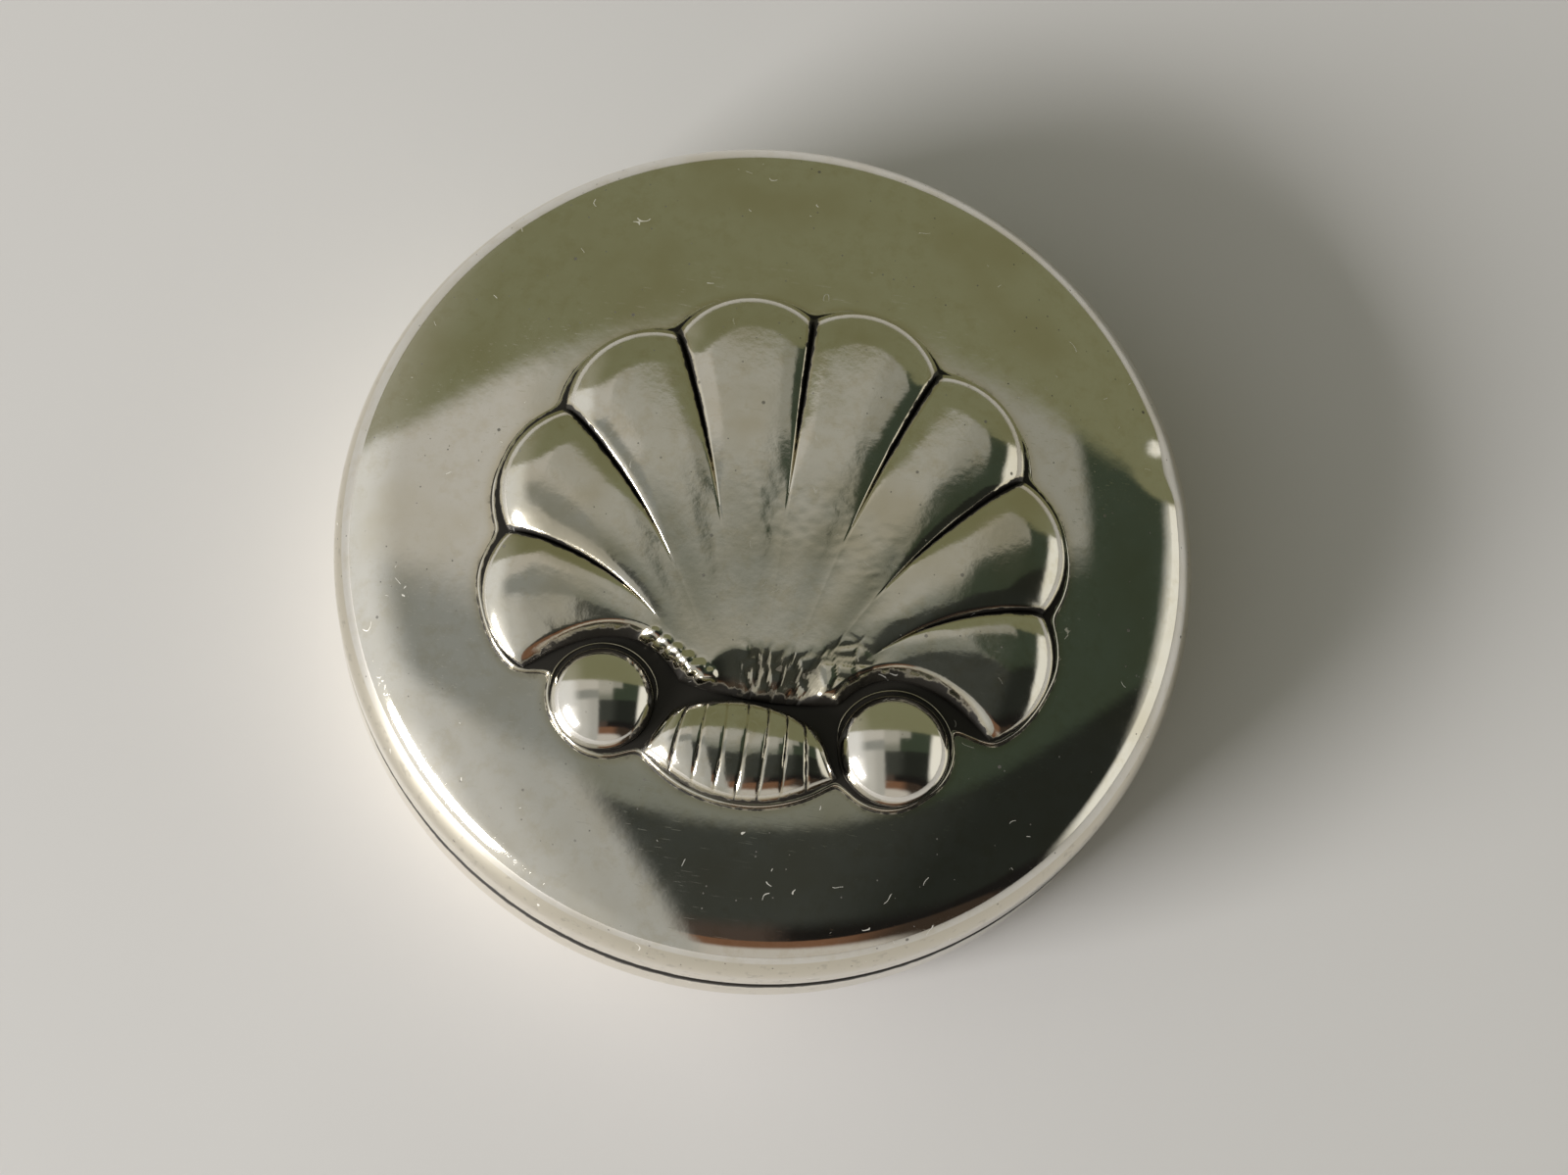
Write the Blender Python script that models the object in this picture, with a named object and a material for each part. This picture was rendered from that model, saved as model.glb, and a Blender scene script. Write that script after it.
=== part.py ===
"""A round silver pill box: a shallow cup with a slip collar, and a lift-off lid with a shell ornament on it.

Units are metres. +Z is up, the origin is the centre of the flat underside, and +Y is the shell's own axis,
from the ribbed barrel at its foot to the tips of its lobes.
"""

import math

import bmesh
import bpy
from mathutils import Vector

# Driving dimensions of the box
OUTER_RADIUS = 0.0200
SHEET = 0.0007  # thickness of the silver sheet that the cup and the lid are drawn from
SHOULDER_WIDTH = 0.0022  # how far the lid's rounded shoulder, and the cup's lower edge, reach inwards
SHOULDER_HEIGHT = 0.0026
SHOULDER_SWEEP = 67  # degrees of the shoulder's quarter ellipse, up to where the crown takes over
CUP_EDGE_HEIGHT = 0.0022
RIM_HEIGHT = 0.0046  # top of the cup's wall
SEAM_GAP = 0.0003  # between the cup's rim and the lid's rim
LID_WALL = 0.0015  # straight part of the lid's wall
CROWN_BOW = 0.00085  # the even part of the crown's rise
CROWN_ROLL = 0.00095  # the part that falls away near the shoulder
SLIP_GAP = 0.00008  # radial clearance between the collar and the two walls
COLLAR_SHEET = 0.0005
COLLAR_FOOT = 0.0024
COLLAR_TOP = 0.0070
COLLAR_LEAD = 0.0004  # chamfer that leads the lid on to the collar

# The ornament, seen from above
SHELL_CENTRE = Vector((0.00045, -0.0022))  # where the lobes' axes meet
NOTCH_RADIUS = 0.0122  # circle through the notches between the lobes
LOBES = 8
LOBE_STEP = math.radians(30)
LOBE_SAGITTA = 0.0015  # how far a lobe's round tip stands out beyond its two notches
FOOT_HALF_WIDTH = 0.0036  # half the width of the shell's foot, above the barrel
FOOT_MIDDLE = -0.00815  # the foot's place along Y at its middle
FOOT_RISE = 0.0003  # how much higher the foot's two ends lie
RIB_LEAN = 0.35  # share of a rib's sideways run that it has made by its control point
RIB_START = 0.0023  # how far a rib climbs along Y before it leans out
RIB_CLIMB = 0.40  # share of a rib's climb that it has made by its control point
RIB_OUTER_LIFT = 0.0012  # how much further the outermost ribs climb before they lean out
LEFT_BEAD = Vector((-0.0064, -0.0092))
RIGHT_BEAD = Vector((0.0068, -0.0095))
LEFT_BEAD_RADIUS = 0.0023
RIGHT_BEAD_RADIUS = 0.0025
BARREL_CENTRE = 0.00005  # along X
BARREL_TOP = -0.00845  # the barrel's upper edge along Y at its middle
BARREL_TOP_SAG = 0.0008
BARREL_TOP_HALF_WIDTH = 0.0033
BARREL_BOTTOM = -0.0129  # the barrel's lower edge along Y at its middle
BARREL_BOTTOM_SAG = -0.0017
BARREL_BOTTOM_HALF_WIDTH = 0.0044
FLANGE = 0.0003  # how far the plate shows round the pieces that stand on it

# The ornament, in height
SOLDER_GAP = 0.00008  # between pieces that are soldered face to face
PLATE_SHEET = 0.0003
LOBE_RELIEF = 0.0016
FOOT_RELIEF = 0.0010
EDGE_RELIEF = 0.0003  # height of the upright edge of the shell and of the barrel
GROOVE_DEPTH = 0.0009
LOBE_RISE = (0.1, 0.6)  # reach over which the shell swells from its foot to its lobes
GROOVE_FALL = (0.2, 0.7)  # reach over which the grooves between the lobes deepen
TIP_SHARE = 0.25  # share of the reach that is rounded off towards the outline
FLANK_SHARE = 0.15  # share of the half-width that is rounded off towards each flank
BARREL_RELIEF = 0.0014
BEAD_FLATNESS = 0.62  # a bead's height as a share of its radius
BARREL_RIBS = 8
BARREL_GROOVE = 0.00025

# How finely the curved surfaces are faceted
ROUND_STEPS = 64
EDGE_STEPS = 5
CROWN_STEPS = 6
COLUMNS_PER_LOBE = 6
SHELL_ROWS = 8
ROW_CROWDING = 1.6  # above 1, the shell's rows lie closer together towards its outline
PLATE_STEPS = 90
PLATE_RINGS = 4
BEAD_STEPS = 24
BEAD_RINGS = 6
COLUMNS_PER_RIB = 4
BARREL_ROWS = 8
OUTLINE_STEPS = 120
SHARP_EDGE = math.radians(35)
WELD = 1e-7

CORNER_RADIUS = OUTER_RADIUS - SHOULDER_WIDTH  # the centre line of the rounded corners
CROWN_RADIUS = CORNER_RADIUS + SHOULDER_WIDTH * math.cos(math.radians(SHOULDER_SWEEP))
LID_FOOT = RIM_HEIGHT + SEAM_GAP
SHOULDER_FOOT = LID_FOOT + LID_WALL
SHOULDER_TOP = SHOULDER_FOOT + SHOULDER_HEIGHT * math.sin(math.radians(SHOULDER_SWEEP))
PLATE_FOOT = SOLDER_GAP
PLATE_TOP = PLATE_FOOT + PLATE_SHEET
PIECE_FOOT = PLATE_TOP + SOLDER_GAP


def silver(name, colour, roughness):
    """A metallic material."""
    material = bpy.data.materials.new(name)
    material.use_nodes = True
    shader = material.node_tree.nodes["Principled BSDF"]
    shader.inputs["Base Color"].default_value = (*colour, 1)
    shader.inputs["Metallic"].default_value = 1.0
    shader.inputs["Roughness"].default_value = roughness
    return material


def node_from(name, mesh, material):
    """Turns a bmesh into a named, smooth-shaded object with its faces pointing out."""
    bmesh.ops.remove_doubles(mesh, verts=mesh.verts, dist=WELD)
    bmesh.ops.recalc_face_normals(mesh, faces=mesh.faces)
    data = bpy.data.meshes.new(name)
    mesh.to_mesh(data)
    mesh.free()
    data.shade_smooth()
    data.set_sharp_from_angle(angle=SHARP_EDGE)
    data.materials.append(material)
    made = bpy.data.objects.new(name, data)
    bpy.context.scene.collection.objects.link(made)
    return made


def corner_arc(foot, width, height, start, end):
    """Points of (radius, height) round a corner's ellipse, with angles in degrees from the outward way."""
    angles = [math.radians(start + (end - start) * i / EDGE_STEPS) for i in range(EDGE_STEPS + 1)]
    return [(CORNER_RADIUS + width * math.cos(a), foot + height * math.sin(a)) for a in angles]


def turned(name, profile, material):
    """A solid of revolution about Z, from a closed profile of (radius, height) points."""
    mesh = bmesh.new()
    corners = [mesh.verts.new((r, 0, z)) for r, z in profile]
    edges = [mesh.edges.new(pair) for pair in zip(corners, corners[1:] + corners[:1]) if not on_axis(pair)]
    bmesh.ops.spin(
        mesh, geom=corners + edges, cent=(0, 0, 0), axis=(0, 0, 1), angle=2 * math.pi, steps=ROUND_STEPS
    )
    return node_from(name, mesh, material)


def on_axis(corners):
    return all(corner.co.x == 0 for corner in corners)


def lid_top(x, y):
    """Height of the lid's outer surface over a point, inside the shoulder."""
    out = (x * x + y * y) / CROWN_RADIUS**2
    return SHOULDER_TOP + CROWN_BOW * (1 - out) + CROWN_ROLL * (1 - out**4)


def crown_points(depth):
    """The crown's profile from the axis outwards, short of the shoulder and lowered by depth."""
    radii = [CROWN_RADIUS * i / CROWN_STEPS for i in range(CROWN_STEPS)]
    return [(r, lid_top(r, 0) - depth) for r in radii]


def build_cup(material):
    """The base: a drawn cup with a rounded lower edge and a flat floor."""
    outside = corner_arc(CUP_EDGE_HEIGHT, SHOULDER_WIDTH, CUP_EDGE_HEIGHT, -90, 0)
    inside = corner_arc(CUP_EDGE_HEIGHT, SHOULDER_WIDTH - SHEET, CUP_EDGE_HEIGHT - SHEET, 0, -90)
    rim = [(OUTER_RADIUS, RIM_HEIGHT), (OUTER_RADIUS - SHEET, RIM_HEIGHT)]
    return turned("base_cup", [(0, 0)] + outside + rim + inside + [(0, SHEET)], material)


def build_collar(material):
    """The slip collar, fixed inside the cup, which stands up into the lid."""
    outer = OUTER_RADIUS - SHEET - SLIP_GAP
    inner = outer - COLLAR_SHEET
    profile = [
        (inner, COLLAR_FOOT),
        (outer, COLLAR_FOOT),
        (outer, COLLAR_TOP - COLLAR_LEAD),
        (outer - COLLAR_LEAD / 2, COLLAR_TOP),
        (inner, COLLAR_TOP),
    ]
    return turned("base_collar", profile, material)


def build_lid(material):
    """The lid: a drawn cap with an upright wall, a rounded shoulder and a low crown."""
    inside = corner_arc(SHOULDER_FOOT, SHOULDER_WIDTH - SHEET, SHOULDER_HEIGHT - SHEET, SHOULDER_SWEEP, 0)
    outside = corner_arc(SHOULDER_FOOT, SHOULDER_WIDTH, SHOULDER_HEIGHT, 0, SHOULDER_SWEEP)
    rim = [(OUTER_RADIUS - SHEET, LID_FOOT), (OUTER_RADIUS, LID_FOOT)]
    profile = crown_points(SHEET) + inside + rim + outside + crown_points(0)[::-1]
    return turned("lid_cap", profile, material)


def smooth(low, high, value):
    """A smooth step from 0 at low to 1 at high."""
    t = min(1.0, max(0.0, (value - low) / (high - low)))
    return t * t * (3 - 2 * t)


def rounded(share):
    """A quarter circle's fall, from 1 at or before 0 to 0 at 1."""
    return math.sqrt(max(0.0, 1 - max(0.0, share) ** 2))


def on_circle(centre, radius, angle):
    """A point on a circle, with the angle measured from +Y towards +X."""
    return centre + radius * Vector((math.sin(angle), math.cos(angle)))


def shell_edge(share):
    """The scalloped outline, from the left-hand end of the shell at 0 to the right-hand end at 1."""
    place = share * LOBES
    lobe = min(int(place), LOBES - 1)
    first = on_circle(SHELL_CENTRE, NOTCH_RADIUS, (lobe - LOBES / 2) * LOBE_STEP)
    last = on_circle(SHELL_CENTRE, NOTCH_RADIUS, (lobe + 1 - LOBES / 2) * LOBE_STEP)
    half = (last - first).length / 2
    radius = (half * half + LOBE_SAGITTA**2) / (2 * LOBE_SAGITTA)
    middle = (first + last) / 2
    outward = (middle - SHELL_CENTRE).normalized()
    along = (last - first).normalized()
    swing = math.asin(half / radius) * (2 * (place - lobe) - 1)
    arc_centre = middle - outward * (radius - LOBE_SAGITTA)
    return arc_centre + radius * (math.sin(swing) * along + math.cos(swing) * outward)


def shell_point(share, reach):
    """A point of the shell from above: reach runs from the foot at 0 along curved ribs to the outline at 1."""
    side = 2 * share - 1
    foot = Vector((SHELL_CENTRE.x + side * FOOT_HALF_WIDTH, FOOT_MIDDLE + FOOT_RISE * side * side))
    edge = shell_edge(share)
    run = edge - foot
    lift = RIB_START + RIB_OUTER_LIFT * side**4
    control = foot + Vector((RIB_LEAN * run.x, RIB_CLIMB * run.y + lift))
    return (1 - reach) ** 2 * foot + 2 * reach * (1 - reach) * control + reach**2 * edge


def shell_relief(share, reach):
    """Height of the shell's face above its own back."""
    across = 2 * ((share * LOBES) % 1) - 1
    body = FOOT_RELIEF + (LOBE_RELIEF - FOOT_RELIEF) * smooth(*LOBE_RISE, reach)
    groove = GROOVE_DEPTH * smooth(*GROOVE_FALL, reach) * across**4
    tip = rounded(1 - (1 - reach) / TIP_SHARE)
    flank = rounded(1 - (1 - abs(2 * share - 1)) / FLANK_SHARE)
    return EDGE_RELIEF + max(0.0, body - EDGE_RELIEF - groove) * tip * flank


def over_lid(mesh, row, heights):
    """Vertices over a row of plan points, at heights above the lid."""
    return [mesh.verts.new((p.x, p.y, lid_top(p.x, p.y) + h)) for p, h in zip(row, heights)]


def relief_solid(name, grid, relief, foot, material, closed=False):
    """A solid that stands on the lid, from rows of plan points and the relief of each above its back at foot.

    A closed grid's rows are rings that start from one point at the centre.
    """
    mesh = bmesh.new()
    face = [over_lid(mesh, row, [foot + h for h in heights]) for row, heights in zip(grid, relief)]
    back = [over_lid(mesh, row, [foot] * len(row)) for row in grid]
    last = len(grid[0])
    spans = [(i, (i + 1) % last) for i in range(last if closed else last - 1)]
    for surface in (face, back):
        for low, high in zip(surface, surface[1:]):
            for i, j in spans:
                mesh.faces.new((low[i], low[j], high[j], high[i]))
    for k in (-1,) if closed else (0, -1):
        for i, j in spans:
            mesh.faces.new((face[k][i], face[k][j], back[k][j], back[k][i]))
    if not closed:
        for k in (0, -1):
            for low in range(len(grid) - 1):
                mesh.faces.new((face[low][k], face[low + 1][k], back[low + 1][k], back[low][k]))
    return node_from(name, mesh, material)


def build_shell(material):
    """The fluted fan, on a grid of curved ribs and of rows that crowd towards the outline."""
    columns = LOBES * COLUMNS_PER_LOBE
    shares = [i / columns for i in range(columns + 1)]
    rows = [1 - (1 - i / SHELL_ROWS) ** ROW_CROWDING for i in range(SHELL_ROWS + 1)]
    grid = [[shell_point(s, r) for s in shares] for r in rows]
    relief = [[shell_relief(s, r) for s in shares] for r in rows]
    return relief_solid("shell_fan", grid, relief, PIECE_FOOT, material)


def barrel_point(share, fall):
    """A point of the barrel from above: share runs left to right, and fall from upper to lower edge."""
    side = 2 * share - 1
    half_width = BARREL_TOP_HALF_WIDTH + fall * (BARREL_BOTTOM_HALF_WIDTH - BARREL_TOP_HALF_WIDTH)
    top = BARREL_TOP - BARREL_TOP_SAG * side * side
    bottom = BARREL_BOTTOM - BARREL_BOTTOM_SAG * side * side
    return Vector((BARREL_CENTRE + half_width * side, top + fall * (bottom - top)))


def barrel_relief(share, fall):
    """Height of the barrel's face above its own back."""
    across = 2 * ((share * BARREL_RIBS) % 1) - 1
    dome = rounded(abs(2 * fall - 1)) * rounded(abs(2 * share - 1) ** 2)
    return EDGE_RELIEF + dome * (BARREL_RELIEF - EDGE_RELIEF - BARREL_GROOVE * across**4)


def build_barrel(material):
    """The short ribbed barrel at the foot of the shell."""
    columns = BARREL_RIBS * COLUMNS_PER_RIB
    shares = [i / columns for i in range(columns + 1)]
    falls = [(1 - math.cos(math.pi * i / BARREL_ROWS)) / 2 for i in range(BARREL_ROWS + 1)]
    grid = [[barrel_point(s, f) for s in shares] for f in falls]
    relief = [[barrel_relief(s, f) for s in shares] for f in falls]
    return relief_solid("barrel_bead", grid, relief, PIECE_FOOT, material)


def ring_of(centre, radius, steps):
    return [on_circle(centre, radius, math.tau * i / steps) for i in range(steps)]


def build_bead(name, centre, radius, material):
    """A low round dome beside the barrel."""
    angles = [math.pi / 2 * k / BEAD_RINGS for k in range(BEAD_RINGS + 1)]
    grid = [ring_of(centre, radius * math.sin(a), BEAD_STEPS) for a in angles]
    dome = BEAD_FLATNESS * radius - EDGE_RELIEF
    relief = [[EDGE_RELIEF + dome * math.cos(a)] * BEAD_STEPS for a in angles]
    return relief_solid(name, grid, relief, PIECE_FOOT, material, closed=True)


def furthest_crossing(start, direction, outline):
    """How far along a unit direction a closed outline is last crossed, or 0 if it never is."""
    furthest = 0.0
    for first, last in zip(outline, outline[1:] + outline[:1]):
        along = last - first
        denominator = direction.cross(along)
        if abs(denominator) < 1e-12:
            continue
        share = (first - start).cross(direction) / denominator
        if 0 <= share <= 1:
            furthest = max(furthest, (first - start).cross(along) / denominator)
    return furthest


def piece_outlines():
    """The outlines of the pieces that stand on the plate."""
    fine = [i / OUTLINE_STEPS for i in range(OUTLINE_STEPS + 1)]
    shell = [shell_point(0, t) for t in fine] + [shell_edge(t) for t in fine]
    shell += [shell_point(1, 1 - t) for t in fine] + [shell_point(1 - t, 0) for t in fine]
    barrel = [barrel_point(t, 0) for t in fine] + [barrel_point(1 - t, 1) for t in fine]
    left = ring_of(LEFT_BEAD, LEFT_BEAD_RADIUS, ROUND_STEPS)
    right = ring_of(RIGHT_BEAD, RIGHT_BEAD_RADIUS, ROUND_STEPS)
    return [shell, barrel, left, right]


def build_plate(material):
    """The thin plate that the shell, beads and barrel stand on, which shows as a narrow edge round them."""
    outlines = piece_outlines()
    steps = range(PLATE_STEPS)
    rays = [on_circle(Vector((0, 0)), 1, math.tau * i / PLATE_STEPS) for i in steps]
    reaches = [max(furthest_crossing(SHELL_CENTRE, ray, outline) for outline in outlines) for ray in rays]
    covered = [max(reaches[i - 1], reaches[i], reaches[(i + 1) % PLATE_STEPS]) for i in steps]
    rim = [SHELL_CENTRE + ray * (reach + FLANGE) for ray, reach in zip(rays, covered)]
    grid = [[SHELL_CENTRE.lerp(p, k / PLATE_RINGS) for p in rim] for k in range(PLATE_RINGS + 1)]
    relief = [[PLATE_SHEET] * PLATE_STEPS] * len(grid)
    return relief_solid("ornament_plate", grid, relief, PLATE_FOOT, material, closed=True)


def main():
    for old in list(bpy.data.objects):
        bpy.data.objects.remove(old)
    polished = silver("polished_silver", (0.80, 0.78, 0.73), 0.12)
    satin = silver("satin_silver", (0.72, 0.70, 0.66), 0.35)
    relief = silver("relief_silver", (0.74, 0.72, 0.67), 0.16)
    build_cup(polished)
    build_collar(satin)
    build_lid(polished)
    build_plate(satin)
    build_shell(relief)
    build_bead("bead_left", LEFT_BEAD, LEFT_BEAD_RADIUS, polished)
    build_bead("bead_right", RIGHT_BEAD, RIGHT_BEAD_RADIUS, polished)
    build_barrel(relief)


main()
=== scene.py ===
"""Looks for the round silver pill box: finely modelled silver pieces, a floor, a light and a camera.

Lengths inside this script are in millimetres, in the frame's axes, and become metres when a mesh is made.
The shell's own axis is +Y. "share" and "reach" are its two surface coordinates: share runs from its left
end to its right end, and reach from its foot to its scalloped outline. A "crevice" value from 0 to about 1
is kept for every point of a mesh, and the silver tarnishes and blackens where it is high: as oxide in its
hollows, and as painted shade in the seam and round the far side of each bead's foot.
"""

import math

import bmesh
import bpy
import numpy as np
from mathutils import Matrix, Vector, noise


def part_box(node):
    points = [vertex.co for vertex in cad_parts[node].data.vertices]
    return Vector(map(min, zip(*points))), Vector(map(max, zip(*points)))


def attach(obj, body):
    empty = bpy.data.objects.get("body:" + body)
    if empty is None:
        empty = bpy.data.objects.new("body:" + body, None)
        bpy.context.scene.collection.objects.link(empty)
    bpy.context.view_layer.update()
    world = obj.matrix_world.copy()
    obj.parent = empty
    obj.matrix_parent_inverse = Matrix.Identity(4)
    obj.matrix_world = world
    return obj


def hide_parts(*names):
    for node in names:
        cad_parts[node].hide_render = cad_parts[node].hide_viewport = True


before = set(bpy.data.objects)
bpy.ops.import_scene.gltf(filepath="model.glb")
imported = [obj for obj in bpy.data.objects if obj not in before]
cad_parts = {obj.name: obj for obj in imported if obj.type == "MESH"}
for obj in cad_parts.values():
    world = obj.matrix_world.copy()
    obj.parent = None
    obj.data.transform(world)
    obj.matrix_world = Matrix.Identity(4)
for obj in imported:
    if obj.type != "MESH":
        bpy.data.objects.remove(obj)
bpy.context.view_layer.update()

MM = 0.001


def box_mm(node):
    """Lowest and highest corner of a CAD node, in millimetres."""
    low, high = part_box(node)
    return np.array(low) / MM, np.array(high) / MM


# ---------------------------------------------------------------- sizes, from the frame
_, CUP_HIGH = box_mm("base_cup")
LID_LOW, LID_HIGH = box_mm("lid_cap")
COLLAR_LOW, COLLAR_HIGH = box_mm("base_collar")
LEFT_LOW, LEFT_HIGH = box_mm("bead_left")
RIGHT_LOW, RIGHT_HIGH = box_mm("bead_right")

RADIUS = LID_HIGH[0]
RIM = CUP_HIGH[2]
LID_FOOT = LID_LOW[2]
LID_PEAK = LID_HIGH[2]

# ---------------------------------------------------------------- sizes that the frame's boxes don't hold
SHEET = 0.7
SHOULDER_WIDTH = 2.2
SHOULDER_HEIGHT = 2.6
MEET = math.radians(67)  # where the shoulder's quarter ellipse gives way to the crown
CUP_EDGE = 2.2
LID_WALL = 1.5
CROWN_BOW = 0.85
CROWN_ROLL = 0.95
CORNER_RADIUS = RADIUS - SHOULDER_WIDTH
CROWN_RADIUS = CORNER_RADIUS + SHOULDER_WIDTH * math.cos(MEET)
RIM_ROUNDING = 0.18
COLLAR_SHEET = 0.5
COLLAR_LEAD = 0.4  # height of the collar's rounded upper edge
PLATE_TOP = 0.38  # the plate's top above the lid
PIECE_FOOT = 0.40  # the foot of what stands on the plate, above the lid

FAN_CENTRE = np.array([0.45, -2.2])
NOTCH_RADIUS = 12.2
LOBES = 8
LOBE_STEP = math.radians(30)
LOBE_SAGITTA = 1.5  # how far a lobe's round tip stands out beyond its two notches
FOOT_HALF_WIDTH = 3.6
FOOT_MIDDLE = -8.27  # the foot's place along Y at its middle
FOOT_RISE = 0.4  # how much higher its two ends lie
RIB_LEAN = 0.35  # share of a rib's sideways run that it has made by its control point
RIB_START = 2.3  # how far a rib climbs along Y before it leans out
RIB_CLIMB = 0.40  # share of a rib's climb that it has made by its control point
RIB_OUTER_LIFT = 1.2  # how much further the outermost ribs climb before they lean out
FAN_RELIEF = 1.6  # height of the lobes over the plate
FOOT_RELIEF = 0.9  # height of the palm over the plate, near the foot
EDGE_RELIEF = 0.22  # height of a relief's border over the plate

BARREL_CENTRE = 0.05
BARREL_TOP, BARREL_TOP_SAG, BARREL_TOP_HALF_WIDTH = -8.45, 0.8, 3.3
BARREL_BOTTOM, BARREL_BOTTOM_SAG, BARREL_BOTTOM_HALF_WIDTH = -12.9, -1.7, 4.4
BARREL_RELIEF = 1.4
BARREL_RIBS = 8


def bead_of(low, high):
    """(centre in plan, radius) of a bead from its box."""
    return (low[:2] + high[:2]) / 2, (high[0] - low[0]) / 2


LEFT_BEAD, LEFT_RADIUS = bead_of(LEFT_LOW, LEFT_HIGH)
RIGHT_BEAD, RIGHT_RADIUS = bead_of(RIGHT_LOW, RIGHT_HIGH)


# ---------------------------------------------------------------- small helpers
CELL_CONTRAST = 1.6
SHARP_ANGLE = math.radians(60)
CLOSE = 1e-6  # millimetres
MERGE_DISTANCE = 1e-7  # metres
TINY = 1e-12
ALMOST_PARALLEL = 1e-9


def smooth(low, high, value):
    """0 at low and 1 at high, with a smooth step between them."""
    t = np.clip((value - low) / (high - low), 0, 1)
    return t * t * (3 - 2 * t)


def rounded(share):
    """A quarter circle's fall, from 1 at or before 0 to 0 at 1."""
    return np.sqrt(np.clip(1 - np.clip(share, 0, 1) ** 2, 0, 1))


def soft_noise(points, size, seed):
    """Smooth noise between about -1 and 1, with features of the given size in millimetres."""
    offset = Vector((seed * 17.3, seed * 5.1, seed * 9.7))
    return np.array([noise.noise(Vector(p) / size + offset) for p in points])


def cell_noise(points, size, seed):
    """0 in the middle of a cell to 1 at its border, for cells of about the given size."""
    offset = Vector((seed * 11.9, seed * 3.7, 0))
    nearest = np.array([noise.voronoi(Vector(p) / size + offset)[0][:2] for p in points])
    return np.clip(1 - (nearest[:, 1] - nearest[:, 0]) * CELL_CONTRAST, 0, 1)


def lid_top(x, y):
    """Height of the lid's top over a plan point, inside the shoulder."""
    out = (x * x + y * y) / CROWN_RADIUS**2
    return LID_PEAK - CROWN_BOW * out - CROWN_ROLL * out**4


def mesh_object(name, points, faces, material, crevice):
    """A smooth-shaded mesh from points in millimetres, with its crevice values for the material."""
    data = bpy.data.meshes.new(name)
    data.from_pydata((np.asarray(points) * MM).tolist(), [], faces)
    layer = data.attributes.new("crevice", "FLOAT", "POINT")
    layer.data.foreach_set("value", np.asarray(crevice, np.float32))
    mesh = bmesh.new()
    mesh.from_mesh(data)
    bmesh.ops.remove_doubles(mesh, verts=mesh.verts, dist=MERGE_DISTANCE)
    bmesh.ops.recalc_face_normals(mesh, faces=mesh.faces)
    mesh.to_mesh(data)
    mesh.free()
    data.shade_smooth()
    data.set_sharp_from_angle(angle=SHARP_ANGLE)
    data.materials.append(material)
    made = bpy.data.objects.new(name, data)
    bpy.context.scene.collection.objects.link(made)
    return made


def grid_faces(rows, columns, wrap):
    """Quads of a grid whose points are stored row by row."""
    faces = []
    for row in range(rows - 1):
        for i in range(columns if wrap else columns - 1):
            j = (i + 1) % columns
            below, above = row * columns, (row + 1) * columns
            faces.append((below + i, below + j, above + j, above + i))
    return faces


def turned_points(profile, steps):
    """Points of a profile of (radius, height) turned about Z, ring by ring."""
    angles = np.arange(steps) * math.tau / steps
    profile = np.asarray(profile)
    x = profile[:, :1] * np.sin(angles)
    y = profile[:, :1] * np.cos(angles)
    z = np.repeat(profile[:, 1:], steps, axis=1)
    return np.stack([x, y, z], -1).reshape(-1, 3)


def settle(obj, body, nodes):
    """Fixes a piece to its body, in place of the CAD nodes that it stands for."""
    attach(obj, body)
    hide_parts(*nodes)


# ---------------------------------------------------------------- materials
class Nodes:
    """A short way to write a material's node tree."""

    def __init__(self, name):
        self.material = bpy.data.materials.new(name)
        self.material.use_nodes = True
        self.tree = self.material.node_tree
        self.shader = self.tree.nodes["Principled BSDF"]
        self.place = self.tree.nodes.new("ShaderNodeTexCoord").outputs["Object"]

    def node(self, kind, inputs=None, **settings):
        made = self.tree.nodes.new("ShaderNode" + kind)
        for key, value in settings.items():
            setattr(made, key, value)
        for key, value in (inputs or {}).items():
            self.put(made.inputs[key], value)
        return made

    def put(self, socket, value):
        if isinstance(value, bpy.types.NodeSocket):
            self.tree.links.new(value, socket)
        else:
            socket.default_value = value

    def noise(self, size, detail=3, stretch=(1, 1, 1), turn=(0, 0, 0), roughness=0.5):
        """Noise with features of the given size in millimetres, stretched along the turned axes."""
        spread = [1 / (MM * size * s) for s in stretch]
        placed = self.node("Mapping", {"Vector": self.place, "Rotation": turn, "Scale": spread})
        inputs = {"Vector": placed.outputs[0], "Scale": 1.0, "Detail": detail, "Roughness": roughness}
        return self.node("TexNoise", inputs).outputs["Fac"]

    def ramp(self, value, low, high, start=0.0, end=1.0):
        """Maps low..high smoothly to start..end."""
        inputs = {"Value": value, "From Min": low, "From Max": high, "To Min": start, "To Max": end}
        return self.node("MapRange", inputs, interpolation_type="SMOOTHSTEP").outputs["Result"]

    def math(self, operation, first, second=0.0):
        made = self.node("Math", operation=operation)
        self.put(made.inputs[0], first)
        self.put(made.inputs[1], second)
        return made.outputs[0]

    def mix(self, share, first, second):
        made = self.node("Mix", data_type="RGBA")
        for socket, value in ((0, share), (6, first), (7, second)):
            self.put(made.inputs[socket], value)
        return made.outputs[2]

    def attribute(self, name):
        return self.node("Attribute", attribute_name=name).outputs["Fac"]


def round_pits(nodes, size, radius, share):
    """Scattered round spots, 1 in a spot: a share of cells of the given size in millimetres holds one."""
    placed = nodes.node("Mapping", {"Vector": nodes.place, "Scale": [1 / (MM * size)] * 3})
    cells = nodes.node("TexVoronoi", {"Vector": placed.outputs[0], "Scale": 1.0, "Randomness": 1.0})
    spot = nodes.ramp(cells.outputs["Distance"], radius / size, 0.6 * radius / size)
    chosen = nodes.node("SeparateColor", {"Color": cells.outputs["Color"]}).outputs["Red"]
    return nodes.math("MULTIPLY", spot, nodes.ramp(chosen, 1 - share, 1 - share + 0.01))


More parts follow.
